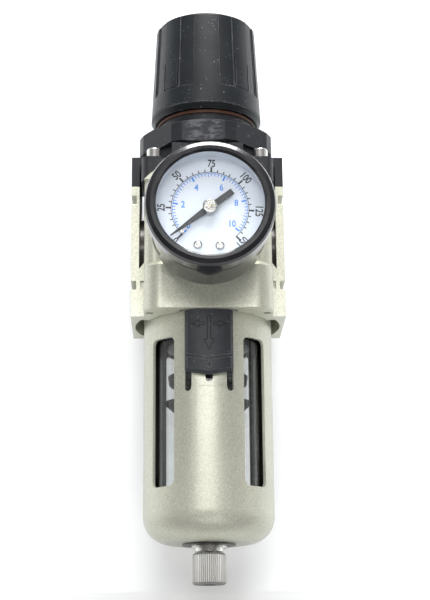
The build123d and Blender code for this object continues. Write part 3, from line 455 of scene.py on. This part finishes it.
def thicken(mesh_tool, depth):
    """Gives flat faces a thickness towards +Z."""
    faces = list(mesh_tool.faces)
    grown = bmesh.ops.extrude_face_region(mesh_tool, geom=faces, use_keep_orig=True)
    moved = [item for item in grown["geom"] if isinstance(item, bmesh.types.BMVert)]
    bmesh.ops.translate(mesh_tool, verts=moved, vec=(0, 0, depth))
    settle(mesh_tool)


# Dial printing

dial_low, dial_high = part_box("gauge_dial")
dial_thickness = 0.6 * MM
dial_face = dial_high.y - dial_thickness
dial_level = (dial_low.z + dial_high.z) / 2
print_depth = 0.00003
black_zero = 224.0
blue_zero = 223.9
black_step = -1.816
blue_step = -26.33
black_arc = 12.4 * MM
blue_arc = 11.95 * MM
black_line = 0.22 * MM
blue_line = 0.2 * MM
black_major_end = 14.15 * MM
black_minor_end = 13.35 * MM
blue_major_start = 10.3 * MM
blue_middle_start = 10.7 * MM
blue_minor_start = 11.0 * MM
major_width = 0.6 * MM
black_minor_width = 0.32 * MM
blue_minor_width = 0.26 * MM
black_height, black_narrow, black_bold = 2.5 * MM, 0.76, 0.085 * MM
blue_height, blue_narrow, blue_bold = 2.2 * MM, 0.84, 0.075 * MM
capital_share = 0.73

# Value, distance from the centre in millimetres, and whether its foot points outwards
black_numbers = ((0, 15.3, True), (25, 15.7, False), (50, 15.6, False), (75, 15.5, False),
                 (100, 15.7, False), (125, 15.8, False), (150, 15.2, True))
# Value, and its place across and up in millimetres
blue_numbers = ((0, -6.9, -5.6), (2, -8.6, 1.5), (4, -4.3, 7.2),
                (6, 3.7, 7.2), (8, 8.4, 2.0), (10, 6.9, -5.0))


def onto_dial(mesh_tool):
    """Stands flat dial artwork up on the face of the dial."""
    bmesh.ops.transform(mesh_tool, verts=mesh_tool.verts, matrix=Matrix.Translation(
        (0, dial_face, dial_level)) @ Matrix.Rotation(radians(90), 4, "X"))


def stroke(mesh_tool, angle, inner, outer, width):
    """A radial tick on flat artwork."""
    turn = Matrix.Rotation(radians(angle), 4, "Z")
    size = Matrix.Diagonal(((outer - inner) / 2, width / 2, 1, 1))
    place = Matrix.Translation(((outer + inner) / 2, 0, 0))
    bmesh.ops.create_grid(mesh_tool, x_segments=1, y_segments=1, size=1, matrix=turn @ place @ size)


def sweep(mesh_tool, start, end, radius, width):
    """A thin arc on flat artwork."""
    first = Matrix.Rotation(radians(start), 4, "Z")
    ends = [mesh_tool.verts.new(first @ Vector((r, 0, 0))) for r in (radius - width / 2, radius + width / 2)]
    edge = mesh_tool.edges.new(ends)
    bmesh.ops.spin(mesh_tool, geom=ends + [edge], cent=(0, 0, 0), axis=(0, 0, 1),
                   angle=radians(end - start), steps=96)


def numeral(mesh_tool, text, height, narrow, bold, place):
    """Adds a number to flat artwork, centred and then put in its place."""
    curve = bpy.data.curves.new("numeral", "FONT")
    curve.body = text
    curve.size = height / capital_share
    curve.align_x = "CENTER"
    curve.resolution_u = 4
    curve.offset = bold
    holder = bpy.data.objects.new("numeral", curve)
    bpy.context.scene.collection.objects.link(holder)
    bpy.context.view_layer.update()
    flat = bpy.data.meshes.new_from_object(holder.evaluated_get(bpy.context.evaluated_depsgraph_get()))
    flat.transform(place @ Matrix.Diagonal((narrow, 1, 1, 1)) @ Matrix.Translation((0, -height / 2, 0)))
    mesh_tool.from_mesh(flat)
    bpy.data.objects.remove(holder)
    bpy.data.curves.remove(curve)
    bpy.data.meshes.remove(flat)


def black_printing():
    """Outer scale in steps of five, with its numbers outside it."""
    art = bmesh.new()
    sweep(art, black_zero, black_zero + 150 * black_step, black_arc, black_line)
    for value in range(0, 151, 5):
        major = value % 25 == 0
        end = black_major_end if major else black_minor_end
        width = major_width if major else black_minor_width
        stroke(art, black_zero + value * black_step, black_arc, end, width)
    for value, radius, flipped in black_numbers:
        turn = Matrix.Rotation(radians(black_zero + value * black_step - 90), 4, "Z")
        flip = Matrix.Rotation(radians(180 if flipped else 0), 4, "Z")
        place = turn @ Matrix.Translation((0, radius * MM, 0)) @ flip
        numeral(art, str(value), black_height, black_narrow, black_bold, place)
    thicken(art, print_depth)
    onto_dial(art)
    black_ink = ink("black_ink", (0.018, 0.019, 0.024))
    piece("dial_black_scale", art, black_ink, "housing", False)


def blue_printing():
    """Inner scale in fifths, with upright numbers inside it."""
    art = bmesh.new()
    sweep(art, blue_zero, blue_zero + 10 * blue_step, blue_arc, blue_line)
    for tenth in range(0, 51):
        value = tenth / 5
        major, middle = tenth % 10 == 0, tenth % 5 == 0
        inner = blue_major_start if major else blue_middle_start if middle else blue_minor_start
        width = major_width if major else blue_minor_width
        stroke(art, blue_zero + value * blue_step, inner, blue_arc, width)
    for value, x, y in blue_numbers:
        place = Matrix.Translation((x * MM, y * MM, 0))
        numeral(art, str(value), blue_height, blue_narrow, blue_bold, place)
    thicken(art, print_depth)
    onto_dial(art)
    blue_ink = ink("blue_ink", (0.05, 0.19, 0.56))
    piece("dial_blue_scale", art, blue_ink, "housing", False)


black_printing()
blue_printing()


def hub_spot():
    """Brass end of the spindle, seen through the hub's cap."""
    low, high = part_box("needle_hub")
    radius, rise = 0.32 * MM, 0.02 * MM
    spot = bmesh.new()
    bmesh.ops.create_circle(spot, cap_ends=True, segments=24, radius=radius)
    thicken(spot, rise)
    bmesh.ops.transform(spot, verts=spot.verts, matrix=Matrix.Translation(
        (0, low.y, dial_level)) @ Matrix.Rotation(radians(90), 4, "X"))
    piece("hub_spot", spot, brass, "pointer", False)


hub_spot()


# Lock markings, with their engraved grooves drawn as matt black strips of painted shade

lock_low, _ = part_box("lock_button")
lock_ring_rise = 0.15 * MM
lock_radius = -lock_low.y - lock_ring_rise
arrow_line = 0.26 * MM
arrow_rise = 0.03 * MM


def wrap(mesh_tool, radius):
    """Bends flat artwork, drawn in X and Y, round the front of the lock."""
    for corner in mesh_tool.verts:
        x, z, rise = corner.co
        reach = radius + rise
        corner.co = Vector((x, -sqrt(reach * reach - x * x), z))
    bmesh.ops.recalc_face_normals(mesh_tool, faces=mesh_tool.faces)


def arrow(points, line):
    """A closed outline of the given line width, as flat artwork."""
    art = bmesh.new()
    face = art.faces.new([art.verts.new((x * MM, y * MM, 0)) for x, y in points])
    art.normal_update()
    bmesh.ops.inset_individual(art, faces=[face], thickness=line, use_even_offset=True)
    bmesh.ops.delete(art, geom=[face], context="FACES_ONLY")
    bmesh.ops.subdivide_edges(art, edges=art.edges, cuts=2, use_grid_fill=True)
    thicken(art, arrow_rise)
    return art


def side_arrow(sign):
    """An arrow that points to one side, in millimetres."""
    shape = [(1.4, -0.55), (3.1, -0.55), (3.1, -1.37), (6.0, 0), (3.1, 1.37), (3.1, 0.55), (1.4, 0.55)]
    return [(sign * x, y - 31.8) for x, y in shape][::sign]


def down_arrow():
    """The arrow that points down, rounded at its top, in millimetres."""
    return [(-0.7, -29.5), (-0.35, -29.05), (0.35, -29.05), (0.7, -29.5), (0.7, -37.1), (1.93, -37.1),
            (0, -41.1), (-1.93, -37.1), (-0.7, -37.1)]


# painted shade: near-black matt strips stand in for the shade inside the arrows' engraved grooves
groove_shade = Finish("engraved_groove_shade", (0.004, 0.004, 0.005), 0.7)
groove_shade_speck = groove_shade.grain(0.0003)
groove_shade.set("Base Color", groove_shade.tint(groove_shade_speck, (0.003, 0.003, 0.004), (0.007, 0.007, 0.008)))

lock_arrows = {"left_arrow": side_arrow(-1), "right_arrow": side_arrow(1), "down_arrow": down_arrow()}
for name, outline in lock_arrows.items():
    art = arrow(outline, arrow_line)
    wrap(art, lock_radius)
    piece("lock_" + name, art, groove_shade, "lock", False)


# Pipe ports

def port_thread(side):
    """Thread ridges of a pipe port, drawn as rings in its bore."""
    root, crest, pitch, mouth = 7.45 * MM, 7.08 * MM, 1.337 * MM, 25.3 * MM
    turns, valley = 8, root - 0.03 * MM
    outline = [(mouth, root)]
    for turn in range(turns):
        outline += [(mouth - (turn + 0.5) * pitch, crest), (mouth - (turn + 1) * pitch, valley)]
    outline.append((mouth - turns * pitch, root))
    ridge = bmesh.new()
    corners = [ridge.verts.new((side * x, r, 0)) for x, r in outline]
    lines = [ridge.edges.new(pair) for pair in zip(corners, corners[1:] + corners[:1])]
    bmesh.ops.spin(ridge, geom=corners + lines, cent=(0, 0, 0), axis=(1, 0, 0), angle=radians(360), steps=48,
                   use_merge=True)
    settle(ridge)
    piece("inlet_thread" if side < 0 else "outlet_thread", ridge, zinc_plate, "housing")


port_thread(-1)
port_thread(1)


# Stage: white table behind the object as in the photograph, pale floor under it, soft lights

floor_gap = 0.0005
table_gap = 0.0015
stage_size = 6.0
floor_level = cad_box[0][2] - floor_gap
level_fade = 0.0002
far_start, far_end = 0.25, 1.1
far_white = (0.9, 0.9, 0.9)
sheet_white = (0.80, 0.82, 0.84)


def stage_finish(name, white, below=0):
    """Pale matt sheet that keeps the object's shadow and can't be seen from behind.
    Below is extra glow under the level of the floor."""
    finish = Finish(name, sheet_white, 0.9)
    speck = finish.grain(0.01)
    finish.set("Base Color", finish.tint(speck * 0.05, sheet_white, (0.78, 0.80, 0.82)))
    seen = (finish.add("ShaderNodeLightPath", {}, {}, "Is Camera Ray")
            + 0.5 * finish.add("ShaderNodeLightPath", {}, {}, "Is Glossy Ray")
            + finish.add("ShaderNodeLightPath", {}, {}, "Is Transmission Ray")).clear()
    above = finish.axis("Z").ramp(floor_level - level_fade, floor_level)
    shown = finish.tint(above, tuple(c + below for c in white), white)
    away = finish.add("ShaderNodeVectorMath", {"operation": "LENGTH"}, {0: finish.place}, "Value")
    shown = finish.tint(away.ramp(far_start, far_end), shown, far_white)
    finish.set("Emission Color", finish.tint(seen, (0, 0, 0), shown))
    finish.set("Emission Strength", 1.0)
    behind = finish.add("ShaderNodeNewGeometry", {}, {}, "Backfacing")
    bare = finish.add("ShaderNodeBsdfTransparent", {}, {})
    shader = Wire(finish, finish.shader.outputs[0])
    both = finish.add("ShaderNodeMixShader", {}, {0: behind, 1: shader, 2: bare})
    finish.tree.links.new(both.socket, finish.output.inputs["Surface"])
    return finish


def sheet(name, place, turn, finish):
    """A large flat sheet of the stage, facing along its own +Z."""
    flat = bmesh.new()
    bmesh.ops.create_grid(flat, x_segments=1, y_segments=1, size=stage_size / 2,
                          matrix=Matrix.Translation(place) @ Matrix.Rotation(radians(turn), 4, "X"))
    mesh = bpy.data.meshes.new(name)
    flat.to_mesh(mesh)
    flat.free()
    mesh.materials.append(finish.material)
    made = bpy.data.objects.new(name, mesh)
    bpy.context.scene.collection.objects.link(made)
    return made


table = sheet("table", (0, cad_box[1][1] + table_gap, 0), 90,
              stage_finish("table_white", (0.24, 0.23, 0.22), 0.12))
table.visible_diffuse = False
table.visible_shadow = False
floor = sheet("floor", (0, 0, floor_level), 0, stage_finish("floor_white", (0.38, 0.38, 0.38)))
floor.visible_glossy = False
floor.visible_shadow = False

world = bpy.data.worlds.new("studio")
world.use_nodes = True
bpy.context.scene.world = world


class Sky(Finish):
    """The same arithmetic for the studio's surroundings."""

    def __init__(self):
        self.tree = world.node_tree
        self.shader = self.tree.nodes["Background"]
        self.place = self.add("ShaderNodeTexCoord", {}, {}, "Generated")


sky = Sky()
glow = 0.10 + 0.26 * sky.axis("Z").ramp(-0.3, 0.9) + 0.15 * sky.axis("Y").ramp(-0.2, 0.8)
sky.set("Strength", sky.sum("MAXIMUM", glow, sky.add("ShaderNodeLightPath", {}, {}, "Is Camera Ray")))
sky.set("Color", (1, 1, 1, 1))


def lamp(name, place, aim, size, power):
    """A soft box aimed at a point."""
    data = bpy.data.lights.new(name, "AREA")
    data.shape = "RECTANGLE"
    data.size, data.size_y = size
    data.energy = power
    made = bpy.data.objects.new(name, data)
    bpy.context.scene.collection.objects.link(made)
    made.location = place
    made.visible_camera = False
    made.rotation_euler = (Vector(aim) - Vector(place)).to_track_quat("-Z", "Y").to_euler()


lamp("key", (0.03, -0.36, 0.62), (0, 0, -0.01), (0.36, 0.28), 6.6)
lamp("front_fill", (-0.04, -0.62, 0.09), (0, 0, -0.05), (0.36, 0.11), 1.05)
lamp("low_fill", (0.05, -0.45, -0.42), (0, 0, -0.04), (0.35, 0.25), 0.3)
lamp("left_fill", (-0.55, -0.10, 0.05), (0, 0, 0), (0.25, 0.5), 0.22)
lamp("right_fill", (0.55, -0.16, 0.05), (0, 0, 0), (0.25, 0.5), 0.2)
